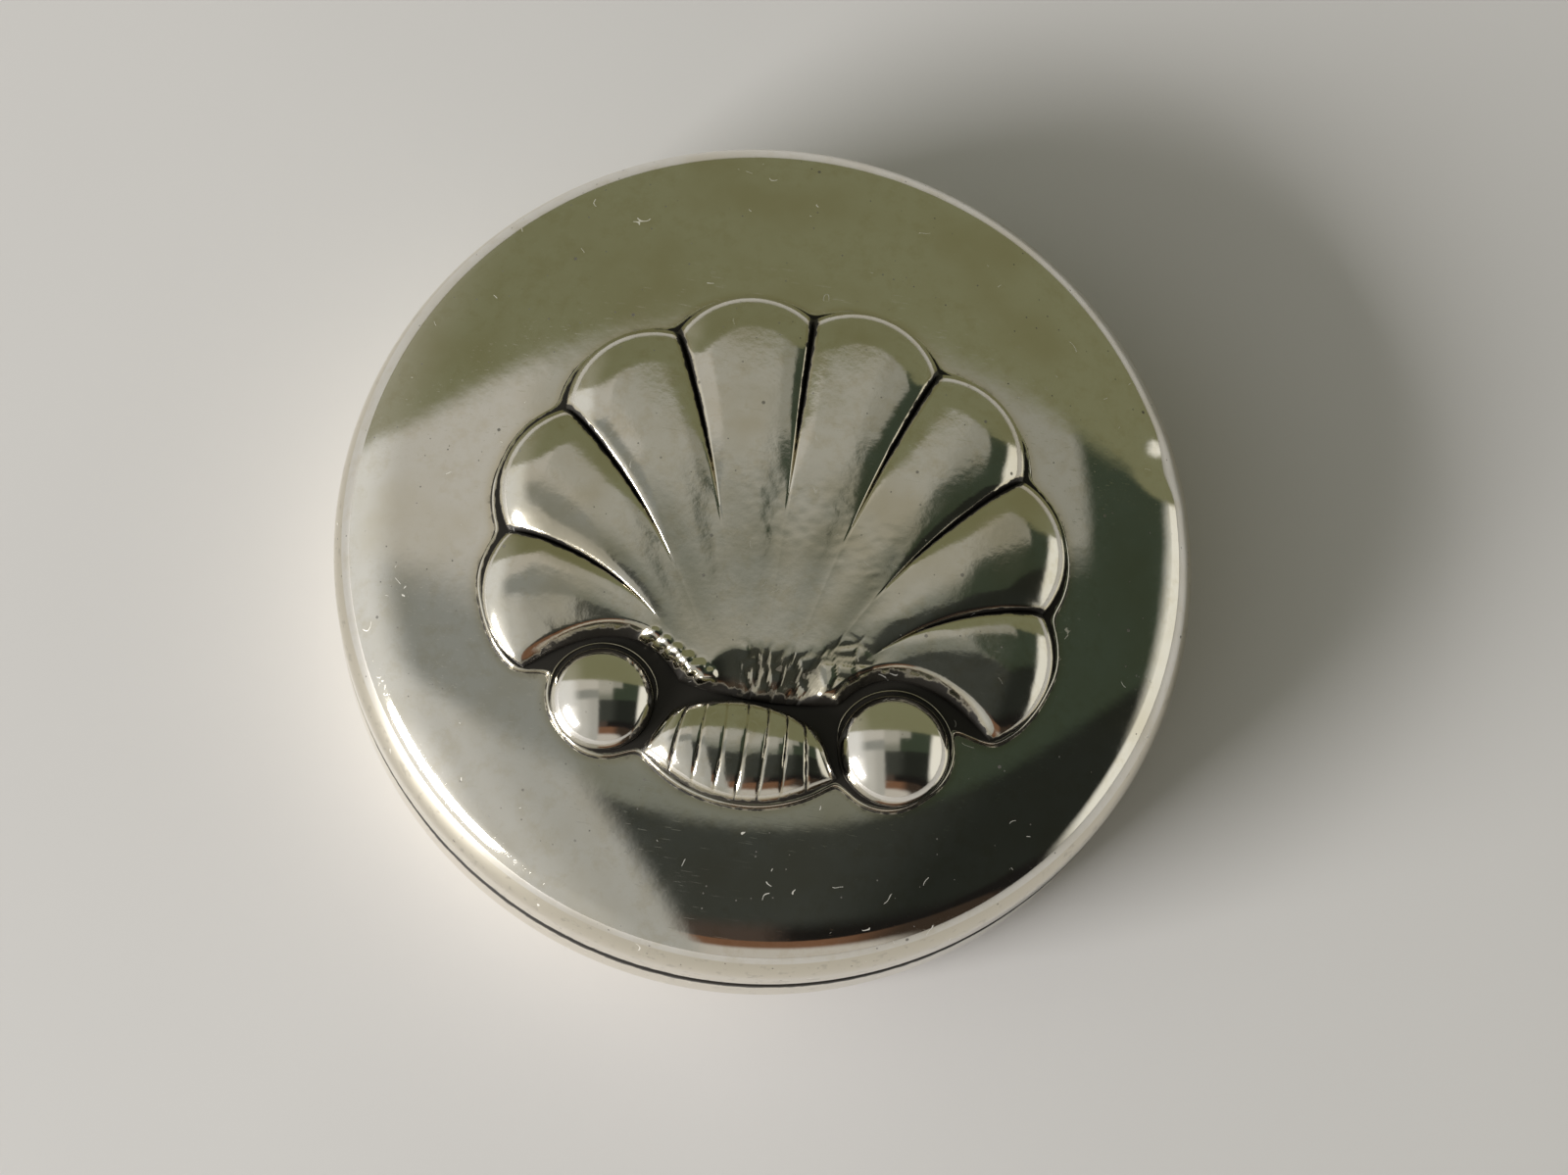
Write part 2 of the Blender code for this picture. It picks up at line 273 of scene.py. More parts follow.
def hair_marks(nodes, size, share):
    """Scattered short curved scratches, 1 on a scratch."""
    drift = nodes.math("ABSOLUTE", nodes.math("SUBTRACT", nodes.noise(size, detail=1), 0.5))
    line = nodes.ramp(drift, 0.008, 0.003)
    chosen = nodes.ramp(nodes.noise(size * 0.6, detail=1), 1 - share, 1 - share + 0.02)
    return nodes.math("MULTIPLY", line, chosen)


def scratch_lines(nodes, size, turn, threshold):
    """Thin broken lines along one direction, 1 on a line and 0 off it."""
    line = nodes.noise(size, detail=1, stretch=(40, 1, 1), turn=(0, 0, turn))
    return nodes.ramp(line, threshold, threshold + 0.05)


def bump(nodes, height, depth, strength, below=None, invert=False):
    """The normal after a bump of a pattern, of the given depth in millimetres, over another bump's normal."""
    inputs = {"Height": height, "Distance": depth * MM, "Strength": strength}
    if below is not None:
        inputs["Normal"] = below
    return nodes.node("Bump", inputs, invert=invert).outputs[0]


# black of oxide in hollows; the same black paints shade in the seam and round the beads' far sides
BLACK_OXIDE_AND_SHADE = (0.018, 0.016, 0.013, 1)
BARE_MARK = (0.95, 0.94, 0.90, 1)  # a fresh bright scratch
TARNISH_TINT = (0.86, 0.82, 0.72)  # what tarnish leaves of each colour
TARNISH_CREVICE = 0.3  # crevice value from which silver is fully tarnished
OXIDE_CREVICE = (0.35, 0.75)  # crevice values between which it blackens
OXIDE_RAGGEDNESS = 0.22  # how far noise moves those values
SCRATCHES = ((0.05, 0.5, 0.76), (0.04, 1.9, 0.77), (0.06, 2.7, 0.78))  # (width, direction, threshold)
WAVE_DEPTH = 0.005
SCRATCH_DEPTH = 0.001


def silver(name, colour, roughness, haze, grime, scratches, pebble):
    """Worn polished silver: warm mottling, hazy patches, scratches, small pits, and oxide in crevices,
    with painted shade blackened like the oxide where a mesh's crevice values hold it.

    pebble is the depth in millimetres of its fine unevenness.
    """
    nodes = Nodes(name)
    sockets = nodes.shader.inputs
    bright = (*colour, 1)
    warm = (*(c * t for c, t in zip(colour, TARNISH_TINT)), 1)
    crevice = nodes.attribute("crevice")

    patches = nodes.ramp(nodes.noise(5.0, detail=4), 0.42, 0.70, 0.0, haze)
    fine_patches = nodes.ramp(nodes.noise(0.9, detail=5, roughness=0.65), 0.40, 0.75, 0.0, 0.8 * haze)
    worked_in = nodes.ramp(crevice, 0.0, TARNISH_CREVICE)
    tarnish = nodes.math("MAXIMUM", nodes.math("MAXIMUM", patches, fine_patches), worked_in)
    mottled = nodes.mix(tarnish, bright, warm)

    specks = nodes.math("MAXIMUM", round_pits(nodes, 1.3, 0.10, 0.40), round_pits(nodes, 0.5, 0.05, 0.35))
    drift = nodes.ramp(nodes.noise(0.5, detail=4), 0.3, 0.7, -OXIDE_RAGGEDNESS, OXIDE_RAGGEDNESS)
    # crevice values blacken the silver: oxide in its hollows, and painted shade in the seam and round the
    # beads' far sides
    crevice_oxide_and_shade = nodes.ramp(nodes.math("ADD", crevice, drift), *OXIDE_CREVICE)
    dirt_oxide_and_shade = nodes.math("MAXIMUM", crevice_oxide_and_shade, nodes.math("MULTIPLY", specks, 0.75 * grime))
    marks = nodes.math("MULTIPLY", hair_marks(nodes, 1.5, 0.32), 0.75 * scratches)
    nodes.put(sockets["Base Color"], nodes.mix(marks, nodes.mix(dirt_oxide_and_shade, mottled, BLACK_OXIDE_AND_SHADE), BARE_MARK))

    lines = [scratch_lines(nodes, size, turn, edge - 0.03 * scratches) for size, turn, edge in SCRATCHES]
    scored = nodes.math("MAXIMUM", nodes.math("MAXIMUM", lines[0], lines[1]), lines[2])
    cloudy = nodes.ramp(nodes.noise(1.6, detail=5), 0.35, 0.75, roughness, roughness + 0.05 * haze)
    worn = nodes.math("ADD", cloudy, nodes.math("MULTIPLY", scored, 0.10))
    dulled = nodes.math("ADD", worn, nodes.math("MULTIPLY", dirt_oxide_and_shade, 0.35))
    nodes.put(sockets["Roughness"], nodes.math("ADD", dulled, nodes.math("MULTIPLY", marks, 0.4)))
    nodes.put(sockets["Metallic"], nodes.ramp(nodes.math("MAXIMUM", dirt_oxide_and_shade, marks), 0.2, 1.0, 1.0, 0.25))

    wavy = bump(nodes, nodes.noise(1.1, detail=3), WAVE_DEPTH, 0.6)
    pebbled = bump(nodes, nodes.noise(0.32, detail=2), pebble, 1.0, wavy)
    nodes.put(sockets["Normal"], bump(nodes, scored, SCRATCH_DEPTH, 0.4, pebbled, invert=True))
    return nodes.material


# ---------------------------------------------------------------- turned pieces
def ellipse_arc(centre, width, height, start, end, steps):
    angles = np.radians(np.linspace(start, end, steps + 1))
    return np.stack([centre[0] + width * np.cos(angles), centre[1] + height * np.sin(angles)], -1)


def joined(*stretches):
    """One profile from stretches of points, without the points that repeat where two meet."""
    points = np.concatenate([np.atleast_2d(s) for s in stretches])
    keep = [0] + [i for i in range(1, len(points)) if np.linalg.norm(points[i] - points[i - 1]) > CLOSE]
    return points[keep]


def line_of(first, last, steps):
    return np.linspace(first, last, steps + 1)


def crown_line(depth, radius, steps):
    """The crown's profile from the axis out to a radius."""
    radii = np.linspace(0, radius, steps + 1)
    return np.stack([radii, lid_top(radii, 0) - depth], -1)


RING_STEPS = 288


def lid_profile():
    """The lid's section: inside from the axis to the rim, and then outside from the rim back to the axis."""
    foot = (CORNER_RADIUS, LID_FOOT + LID_WALL)
    sweep = math.degrees(MEET)
    outer = ellipse_arc(foot, SHOULDER_WIDTH, SHOULDER_HEIGHT, 0, sweep, 36)
    inner = ellipse_arc(foot, SHOULDER_WIDTH - SHEET, SHOULDER_HEIGHT - SHEET, sweep, 0, 20)
    top = crown_line(0, CROWN_RADIUS, 72)[::-1]
    under = crown_line(SHEET, inner[0][0] - 0.3, 20)
    rim = ellipse_arc((RADIUS - RIM_ROUNDING, LID_FOOT + RIM_ROUNDING), RIM_ROUNDING, RIM_ROUNDING, -90, 0, 6)
    inside_rim = [(RADIUS - SHEET, LID_FOOT + 0.06), (RADIUS - SHEET + 0.06, LID_FOOT)]
    wall = line_of(rim[-1], outer[0], 6)
    return joined(under, inner, inside_rim, rim, wall, outer, top)


def cup_profile():
    """The cup's section: outside from the axis to the rim, and then inside from the rim back to the axis."""
    foot = (CORNER_RADIUS, CUP_EDGE)
    outer = ellipse_arc(foot, SHOULDER_WIDTH, CUP_EDGE, -90, 0, 28)
    inner = ellipse_arc(foot, SHOULDER_WIDTH - SHEET, CUP_EDGE - SHEET, 0, -90, 18)
    rim = ellipse_arc((RADIUS - RIM_ROUNDING, RIM - RIM_ROUNDING), RIM_ROUNDING, RIM_ROUNDING, 0, 90, 6)
    inside_rim = [(RADIUS - SHEET + 0.06, RIM), (RADIUS - SHEET, RIM - 0.06)]
    floor = line_of((0, 0), outer[0], 20)
    top = line_of(inner[-1], (0, SHEET), 20)
    return joined(floor, outer, line_of(outer[-1], rim[0], 6), rim, inside_rim, inner, top)


def turned_object(name, profile, material, crevice, wobble=None, closed=False):
    """A turned piece: wobble moves its points, and closed joins its profile's last point to its first."""
    points = turned_points(profile, RING_STEPS)
    if wobble is not None:
        points = wobble(points)
    values = crevice(points)
    faces = grid_faces(len(profile), RING_STEPS, True)
    if closed:
        last = (len(profile) - 1) * RING_STEPS
        faces += [(last + i, last + (i + 1) % RING_STEPS, (i + 1) % RING_STEPS, i) for i in range(RING_STEPS)]
    return mesh_object(name, points, faces, material, values)


DENT = np.array([17.6, 6.6, 8.3])  # a shallow knock in the lid's shoulder
DENT_DEPTH, DENT_RADIUS = 0.19, 1.0
DENT_RIDGE, DENT_RIDGE_RADIUS, DENT_RIDGE_WIDTH = 0.02, 2.0, 0.7  # the metal that it pushed up round it
WAVES = ((9.0, 1, 0.020), (3.2, 2, 0.0035))  # (size, seed, height) of the lid's unevenness
RIM_DROP = 0.15  # how much lower the lid's rim hangs on its left side
RIM_WEAR = 0.20  # how much lower the cup's rim is on its near right side
WALL_TARNISH = 0.24  # crevice value of the walls
SEAM_SHADE = 0.75  # painted shade added to it at the seam
SEAM_SHADE_REACH = (0.15, 0.02)  # from no painted shade to full painted shade, in distance from the seam


def hand_made(points):
    """Slight unevenness of a hand-raised lid, and the knock in its shoulder."""
    outward = points - np.array([0, 0, LID_FOOT - 6])
    outward /= np.linalg.norm(outward, axis=1)[:, None]
    slow = sum(soft_noise(points, size, seed) * height for size, seed, height in WAVES)
    away = np.linalg.norm(points - DENT, axis=1)
    ridge = DENT_RIDGE * np.exp(-(((away - DENT_RIDGE_RADIUS) / DENT_RIDGE_WIDTH) ** 2))
    knock = DENT_DEPTH * np.exp(-((away / DENT_RADIUS) ** 2)) - ridge
    free = smooth(LID_FOOT, LID_FOOT + 1.2, points[:, 2])
    moved = points + outward * ((slow - knock) * free)[:, None]
    leftness = smooth(0.2, 1.0, (-points[:, 0] - 0.6 * points[:, 1]) / RADIUS)
    moved[:, 2] -= RIM_DROP * leftness * (1 - smooth(LID_FOOT, LID_FOOT + LID_WALL, points[:, 2]))
    return moved


def wall_tarnish_and_seam_shade(points, rim):
    """Crevice values of a wall: a light tarnish all over, and painted shade close to the seam."""
    return WALL_TARNISH + SEAM_SHADE * smooth(*SEAM_SHADE_REACH, np.abs(points[:, 2] - rim))


def build_lid(material):
    def crevice(points):
        reach = np.hypot(points[:, 0], points[:, 1])
        near = outline_distance(points[:, :2], PLATE_OUTLINE)
        on_wall = reach >= RADIUS - SHEET * 0.6
        under = points[:, 2] < lid_top(points[:, 0], points[:, 1]) - SHEET * 0.5
        round_plate = 0.46 * np.exp(-np.clip(near, 0, None) / 0.30)
        top = np.where(under, 0.12, round_plate)
        # walls: a light tarnish, and painted shade next to the seam
        return np.where(on_wall, wall_tarnish_and_seam_shade(points, LID_FOOT), top)

    lid = turned_object("lid_shell", lid_profile(), material, crevice, hand_made)
    settle(lid, "lid", ["lid_cap"])


def rim_wear(points):
    """How much lower the cup's rim is: most on its near right side, where the seam gapes."""
    return RIM_WEAR * smooth(-0.1, 0.7, (0.5 * points[:, 0] - 0.87 * points[:, 1]) / RADIUS)


def build_cup(material):
    def worn(points):
        points[:, 2] -= rim_wear(points) * smooth(RIM - 1.2, RIM - 0.2, points[:, 2])
        return points

    def crevice(points):
        wear = rim_wear(points)
        start, full = SEAM_SHADE_REACH
        # painted shade along the rim where the seam meets it, over a light tarnish
        return WALL_TARNISH + SEAM_SHADE * smooth(start + wear, full + wear, RIM - wear - points[:, 2])

    cup = turned_object("cup_shell", cup_profile(), material, crevice, worn)
    settle(cup, "base", ["base_cup"])


def build_collar(material):
    """The slip collar: a rounded upper edge leads the lid on, and painted shade blackens it in the seam."""
    outer = COLLAR_HIGH[0]
    inner = outer - COLLAR_SHEET
    low, high = COLLAR_LOW[2], COLLAR_HIGH[2]
    profile = joined(
        line_of((inner, low), (outer, low), 2),
        line_of((outer, low), (outer, high - COLLAR_LEAD), 40),
        ellipse_arc((outer - 0.2, high - COLLAR_LEAD), 0.2, COLLAR_LEAD, 0, 90, 6),
        ellipse_arc((inner + 0.15, high - 0.1), 0.15, 0.1, 90, 180, 4),
        line_of((inner, high - 0.1), (inner, low + 0.1), 8),
    )

    def crevice(points):
        # painted shade: the collar is blackened where it shows in the seam
        in_seam = smooth(0.45, 0.30, np.abs(points[:, 2] - (RIM + LID_FOOT) / 2))
        return 1.3 * in_seam * (np.hypot(points[:, 0], points[:, 1]) > outer - 0.1)

    collar = turned_object("slip_collar", profile, material, crevice, closed=True)
    settle(collar, "base", ["base_collar"])


# ---------------------------------------------------------------- the ornament's plan
def fan_edge(share):
    """The scalloped outline, from the left-hand end of the fan at 0 to the right-hand end at 1."""
    place = np.asarray(share, float) * LOBES
    lobe = np.minimum(place.astype(int), LOBES - 1)
    start = (lobe - LOBES / 2) * LOBE_STEP
    first = FAN_CENTRE + NOTCH_RADIUS * np.stack([np.sin(start), np.cos(start)], -1)
    last = FAN_CENTRE + NOTCH_RADIUS * np.stack([np.sin(start + LOBE_STEP), np.cos(start + LOBE_STEP)], -1)
    half = np.linalg.norm(last - first, axis=-1)[..., None] / 2
    radius = (half**2 + LOBE_SAGITTA**2) / (2 * LOBE_SAGITTA)
    middle = (first + last) / 2
    outward = (middle - FAN_CENTRE) / np.linalg.norm(middle - FAN_CENTRE, axis=-1)[..., None]
    along = (last - first) / (2 * half)
    swing = np.arcsin(half / radius) * (2 * (place - lobe) - 1)[..., None]
    spoke = np.sin(swing) * along + np.cos(swing) * outward
    return middle - outward * (radius - LOBE_SAGITTA) + radius * spoke


def fan_point(share, reach):
    """Plan point of the fan: reach follows curved ribs from the foot at 0 to the outline at 1."""
    share, reach = np.broadcast_arrays(np.asarray(share, float), np.asarray(reach, float))
    side = 2 * share - 1
    foot = np.stack([FAN_CENTRE[0] + side * FOOT_HALF_WIDTH, FOOT_MIDDLE + FOOT_RISE * side**2], -1)
    edge = fan_edge(share)
    run = edge - foot
    climb = RIB_START + RIB_CLIMB * run[..., 1] + RIB_OUTER_LIFT * side**4
    control = foot + np.stack([RIB_LEAN * run[..., 0], climb], -1)
    t = reach[..., None]
    return (1 - t) ** 2 * foot + 2 * t * (1 - t) * control + t**2 * edge


def barrel_point(share, fall):
    """Plan point of the barrel: fall runs from its upper edge at 0 to its lower edge at 1."""
    side = 2 * share - 1
    half = BARREL_TOP_HALF_WIDTH + fall * (BARREL_BOTTOM_HALF_WIDTH - BARREL_TOP_HALF_WIDTH)
    top = BARREL_TOP - BARREL_TOP_SAG * side**2
    bottom = BARREL_BOTTOM - BARREL_BOTTOM_SAG * side**2
    return np.stack([BARREL_CENTRE + half * side, top + fall * (bottom - top)], -1)


def ring_of(centre, radius, steps):
    angles = np.arange(steps) * math.tau / steps
    return centre + radius * np.stack([np.sin(angles), np.cos(angles)], -1)


def outline_distance(points, outline):
    """Distance in plan from each point to a closed outline, negative inside it."""
    points = np.asarray(points)
    nearest = np.full(len(points), np.inf)
    inside = np.zeros(len(points), bool)
    for first, last in zip(outline, np.roll(outline, -1, axis=0)):
        along = last - first
        length = max(along @ along, TINY)
        share = np.clip(((points - first) @ along) / length, 0, 1)
        gap = points - first - share[:, None] * along
        nearest = np.minimum(nearest, np.einsum("ij,ij->i", gap, gap))
        crosses = (first[1] > points[:, 1]) != (last[1] > points[:, 1])
        rise = along[1] if abs(along[1]) > TINY else TINY
        level = first[0] + (points[:, 1] - first[1]) / rise * along[0]
        inside ^= crosses & (points[:, 0] < level)
    return np.sqrt(nearest) * np.where(inside, -1, 1)


def polyline_distance(points, line):
    """Distance in plan from each point to an open line of points."""
    nearest = np.full(len(points), np.inf)
    for first, last in zip(line, line[1:]):
        along = last - first
        share = np.clip(((points - first) @ along) / max(along @ along, TINY), 0, 1)
        gap = points - first - share[:, None] * along
        nearest = np.minimum(nearest, np.einsum("ij,ij->i", gap, gap))
    return np.sqrt(nearest)


def low_edge(steps):
    """The fan's lower edge: down its right flank, along its foot and up its left flank."""
    fine = np.linspace(0, 1, steps)
    return np.concatenate([fan_point(1, 1 - fine), fan_point(1 - fine, 0)[1:], fan_point(0, fine)[1:]])


def fan_outline(steps):
    return np.concatenate([fan_edge(np.linspace(0, 1, steps * 6))[:-1], low_edge(steps)[:-1]])


def barrel_outline(steps):
    fine = np.linspace(0, 1, steps, endpoint=False)
    ends = [barrel_point(np.ones(steps), fine), barrel_point(np.zeros(steps), 1 - fine)]
    top = barrel_point(fine, 0 * fine)
    bottom = barrel_point(1 - fine, 1 + 0 * fine)
    return np.concatenate([top, ends[0], bottom, ends[1]])


def furthest_crossings(start, rays, outline):
    """How far along each unit ray a closed outline is last crossed, or 0."""
    first = outline - start
    along = np.roll(outline, -1, axis=0) - outline
    bottom = rays[:, :1] * along[:, 1] - rays[:, 1:] * along[:, 0]
    bottom = np.where(np.abs(bottom) < ALMOST_PARALLEL, ALMOST_PARALLEL, bottom)
    share = (first[:, 0] * rays[:, 1:] - first[:, 1] * rays[:, :1]) / bottom
    far = (first[:, 0] * along[:, 1] - first[:, 1] * along[:, 0]) / bottom
    return np.where((share >= 0) & (share <= 1) & (far > 0), far, 0).max(axis=1)


PLATE_STEPS = 720
BRIDGE = 4  # how many steps of the outline, each way, the plate widens to close the notches
EASING = 8  # how many steps, each way, its edge is then smoothed over
EASING_WIDTH = 3.5


def flange(turn):
    """How far the plate shows beyond the pieces on it, by the angle in degrees from the shell's tip."""
    return 0.06 + 0.12 * smooth(40, 80, turn) - 0.20 * smooth(98, 112, turn) + 0.10 * smooth(150, 165, turn)


def plate_outline():
    """The plate's edge: it hugs the pieces that stand on it, and bridges the notches between them."""
    rays = ring_of(np.zeros(2), 1.0, PLATE_STEPS)
    beads = [ring_of(LEFT_BEAD, LEFT_RADIUS, 60), ring_of(RIGHT_BEAD, RIGHT_RADIUS, 60)]
    outlines = [fan_outline(60), barrel_outline(30), *beads]
    reach = np.max([furthest_crossings(FAN_CENTRE, rays, outline) for outline in outlines], axis=0)
    wide = np.max([np.roll(reach, k) for k in range(-BRIDGE, BRIDGE + 1)], axis=0)
    steps = np.arange(-EASING, EASING + 1)
    weights = np.exp(-((steps / EASING_WIDTH) ** 2))
    eased = sum(w * np.roll(wide, k) for k, w in zip(steps, weights)) / weights.sum()
    turn = np.degrees(np.arccos(rays[:, 1]))
    return FAN_CENTRE + rays * (eased + flange(turn))[:, None]


PLATE_OUTLINE = plate_outline()


# ---------------------------------------------------------------- the ornament's pieces
SINK = 0.02  # how far a piece reaches down to the plate that it stands on
WALL_OXIDE = 0.9  # crevice value at the foot of a relief's side


def relief_object(name, plan, height, crevice, material):
    """A closed solid from a grid of plan points: a face at heights over the lid, a wall, and a flat back."""
    rows, columns = plan.shape[:2]
    flat = plan.reshape(-1, 2)
    ground = lid_top(flat[:, 0], flat[:, 1])
    face = np.column_stack([flat, ground + height.reshape(-1)])
    values = crevice.reshape(-1)
    index = np.arange(rows * columns).reshape(rows, columns)
    border = np.concatenate([index[0, :-1], index[:-1, -1], index[-1, :0:-1], index[:0:-1, 0]])
    foot = face[border].copy()
    foot[:, 2] = ground[border] + PIECE_FOOT - SINK
    start = len(face)
    faces = grid_faces(rows, columns, False)
    count = len(border)
    following = np.roll(np.arange(count), -1)
    faces += [(border[i], border[j], start + j, start + i) for i, j in enumerate(following)]
    faces.append(tuple(range(start + count - 1, start - 1, -1)))
    points = np.concatenate([face, foot])
    values = np.concatenate([values, np.full(count, WALL_OXIDE)])
    return mesh_object(name, points, [tuple(map(int, f)) for f in faces], material, values)


GRAINS = 6
GRAIN_RELIEF = 0.20
GRAIN_SLANT = math.radians(24)
GRAIN_LENGTH, GRAIN_BREADTH = 0.46, 0.23  # half of each
GRAIN_ROW = np.array([-4.81, -6.29]), np.array([-1.98, -7.67])  # the first and the last grain


def grain_row(plan):
    """A row of punched grains along the fan's lower left edge: 1 on a grain's top and 0 off it."""
    first, last = GRAIN_ROW
    length = np.array([math.cos(GRAIN_SLANT), math.sin(GRAIN_SLANT)])
    breadth = np.array([-length[1], length[0]])
    spots = np.zeros(len(plan))
    for k in range(GRAINS):
        gap = plan - (first + (last - first) * k / (GRAINS - 1))
        along = np.abs(gap @ length) / GRAIN_LENGTH
        aside = np.abs(gap @ breadth) / GRAIN_BREADTH
        spots += np.exp(-(along**4) - aside**4)
    return spots


FAN_COLUMNS = 46  # to a lobe
FAN_ROWS = 150
ROW_CROWDING = 1.35  # above 1, rows lie closer together near the outline
NO_GROOVE = 9.0  # distance to a groove on the outer sides of the two end lobes, which have none
GROOVE_START = 0.42  # reach at which a middle groove starts
GROOVE_LEAD = 0.26  # how much sooner the outermost ones start
GROOVE_RUN = 0.40  # how much further it has its full depth
GROOVE_DEPTH = 0.28
GROOVE_WIDTH, GROOVE_WIDENING = 0.04, 0.09
GROOVE_OXIDE, GROOVE_OXIDE_SPREAD = 1.15, 1.9
FLUTE_DEPTH = 0.09  # hollow of the palm's continuation of each groove
SIDE_DROP, SIDE_SHARE = 0.31, 0.48  # fall of a lobe's rounded side, and its share of the half width
TIP_ROUNDING = 2.0
PALM_END = (0.08, 0.70)  # reach over which the palm rises to the lobes
END_LOBE_FALL = 0.75  # share of that rise which the outermost edges lack
LEFT_TILT, RIGHT_TILT = 0.50, 0.15  # further fall of the end lobes towards their tips
ROOF_DROP, ROOF_WIDTH = 0.25, 2.6  # gentle fall of the right-hand lobes towards the low edge
END_FLANK, FOOT_FLANK = 0.6, 1.5  # width of the rounding along the low edge, and what the foot adds to it
BORDER_OXIDE, BORDER_OXIDE_LOSS = 0.42, 0.26  # its width along the low edge, and how much less at the tips
SCALE_SIZE, SCALE_DEPTH = 0.75, 0.055  # of the chased scales at the foot
RIPPLE_SIZE, RIPPLE_DEPTH = 0.5, 0.010
CAST_UNEVENNESS = ((2.6, 5, 0.010), (0.8, 6, 0.002))  # (size, seed, height)


def lobe_place(share):
    """(place across a lobe from -1 to 1, whether it is the outer side of an end lobe)."""
    across = 2 * ((share * LOBES) % 1) - 1
    across[share >= 1] = 1
    first, last = share < 1 / LOBES, share > 1 - 1 / LOBES
    return across, np.where(first, across < 0, across > 0) & (first | last)


def chased_region(share, reach, flanks):
    """1 where the fan's foot is chased with scales, and 0 elsewhere."""
    return smooth(2.6, 1.8, flanks) * smooth(0.30, 0.20, reach) * smooth(0.36, 0.44, share)


def rippled_region(share, reach):
    """1 where tool marks run across the palm, and 0 elsewhere."""
    band = smooth(0.33, 0.40, reach) * smooth(0.58, 0.48, reach)
    return band * smooth(0.38, 0.48, share) * smooth(0.8, 0.7, share)


def build_fan(material):
    """The fluted fan: pillow-shaped lobes that sink into a chased palm, with sharp grooves between them."""
    shares = np.linspace(0, 1, LOBES * FAN_COLUMNS + 1)
    rows = 1 - (1 - np.linspace(0, 1, FAN_ROWS + 1)) ** ROW_CROWDING
    share, reach = np.meshgrid(shares, rows)
    plan = fan_point(share, reach)
    flat = plan.reshape(-1, 2)
    share, reach = share.reshape(-1), reach.reshape(-1)
    place = np.column_stack([flat, 0 * share])
    side = np.abs(2 * share - 1)
    tips = polyline_distance(flat, fan_edge(np.linspace(0, 1, 400)))
    flanks = polyline_distance(flat, low_edge(60))

    across, outer_side = lobe_place(share)
    half_width = 0.5 + 2.7 * reach**1.15
    to_groove = np.where(outer_side, NO_GROOVE, (1 - np.abs(across)) * half_width)
    start = GROOVE_START - GROOVE_LEAD * side**2
    deepening = smooth(start, start + GROOVE_RUN, reach)
    cut_width = GROOVE_WIDTH + GROOVE_WIDENING * smooth(start, 1.0, reach)
    cuts = deepening * GROOVE_DEPTH * np.exp(-((to_groove / (0.65 * cut_width)) ** 2))
    sides = deepening * SIDE_DROP * (1 - rounded(1 - to_groove / (SIDE_SHARE * half_width)))
    hollow = np.where(outer_side, 0, 1 - np.cos(math.pi * across)) / 2
    flutes = FLUTE_DEPTH * smooth(0.10, 0.50, reach) * hollow

    rise = smooth(*PALM_END, reach) * (1 - END_LOBE_FALL * side**4)
    tilt = np.where(share < 0.5, LEFT_TILT, RIGHT_TILT) * side**4 * reach**2
    ridge = FOOT_RELIEF + (FAN_RELIEF - FOOT_RELIEF) * rise - tilt
    roof = ROOF_DROP * smooth(0.3, 0.7, share) * np.clip(1 - flanks / ROOF_WIDTH, 0, 1) ** 1.3
    body = ridge - flutes - sides - cuts - roof * smooth(0.15, 0.45, reach)
    flank_width = END_FLANK + FOOT_FLANK * smooth(0.16, 0.40, share) * smooth(0.86, 0.70, share)
    slope = 1 - (1 - np.minimum(flanks / flank_width, 1)) ** 1.5
    height = EDGE_RELIEF + (body - EDGE_RELIEF) * rounded(1 - tips / TIP_ROUNDING) * slope

    scales = cell_noise(place, SCALE_SIZE, 3)
    chased = chased_region(share, reach, flanks)
    grains = grain_row(flat)
    height -= SCALE_DEPTH * chased * scales**2
    height += RIPPLE_DEPTH * rippled_region(share, reach) * soft_noise(place * [1, 2.4, 1], RIPPLE_SIZE, 4)
    height += sum(depth * soft_noise(place, size, seed) for size, seed, depth in CAST_UNEVENNESS)
    height += GRAIN_RELIEF * grains
    height = PIECE_FOOT + np.maximum(height, EDGE_RELIEF * 0.8)

    in_groove = np.exp(-((to_groove / (cut_width * GROOVE_OXIDE_SPREAD)) ** 3))
    groove = GROOVE_OXIDE * smooth(start + 0.05, start + 0.35, reach) * in_groove
    border_width = BORDER_OXIDE - BORDER_OXIDE_LOSS * smooth(0.75, 1.0, reach)
    low_border = 0.95 * np.exp(-((flanks / border_width) ** 2.2))
    border = np.maximum(0.8 * np.exp(-((tips / 0.06) ** 1.2)), low_border)
    border *= 1 - 0.9 * np.minimum(grains, 1)
    crevice = np.maximum.reduce([groove, border, 0.45 * chased * scales**2])

    shape = plan.shape[:2]
    fan = relief_object("shell_lobes", plan, height.reshape(shape), crevice.reshape(shape), material)
    settle(fan, "lid", ["shell_fan"])


RIB_COLUMNS = 20  # to a rib
BARREL_ROWS = 72
BARREL_SPAN, BARREL_DEPTH = 8.0, 4.5  # about how far it reaches along X and along Y
RIB_LEANING, RIB_WAVER = 0.05, 0.010  # shares of the width by which the ribs lean and waver
RIB_BOW = 0.022  # how much lower a rib's sides lie than its middle
RIB_GROOVE_WIDTH, RIB_OXIDE_WIDTH = 0.06, 0.07
FAINT_GROOVE, DEEP_GROOVE = 0.025, 0.055  # depth of a faint groove, and what a deep one adds to it
FAINT_OXIDE, DEEP_OXIDE = 0.30, 0.55  # the same for its crevice value
BARREL_BORDER_OXIDE = 0.09
BARREL_UNEVENNESS = (0.9, 8, 0.012)  # (size, seed, height)


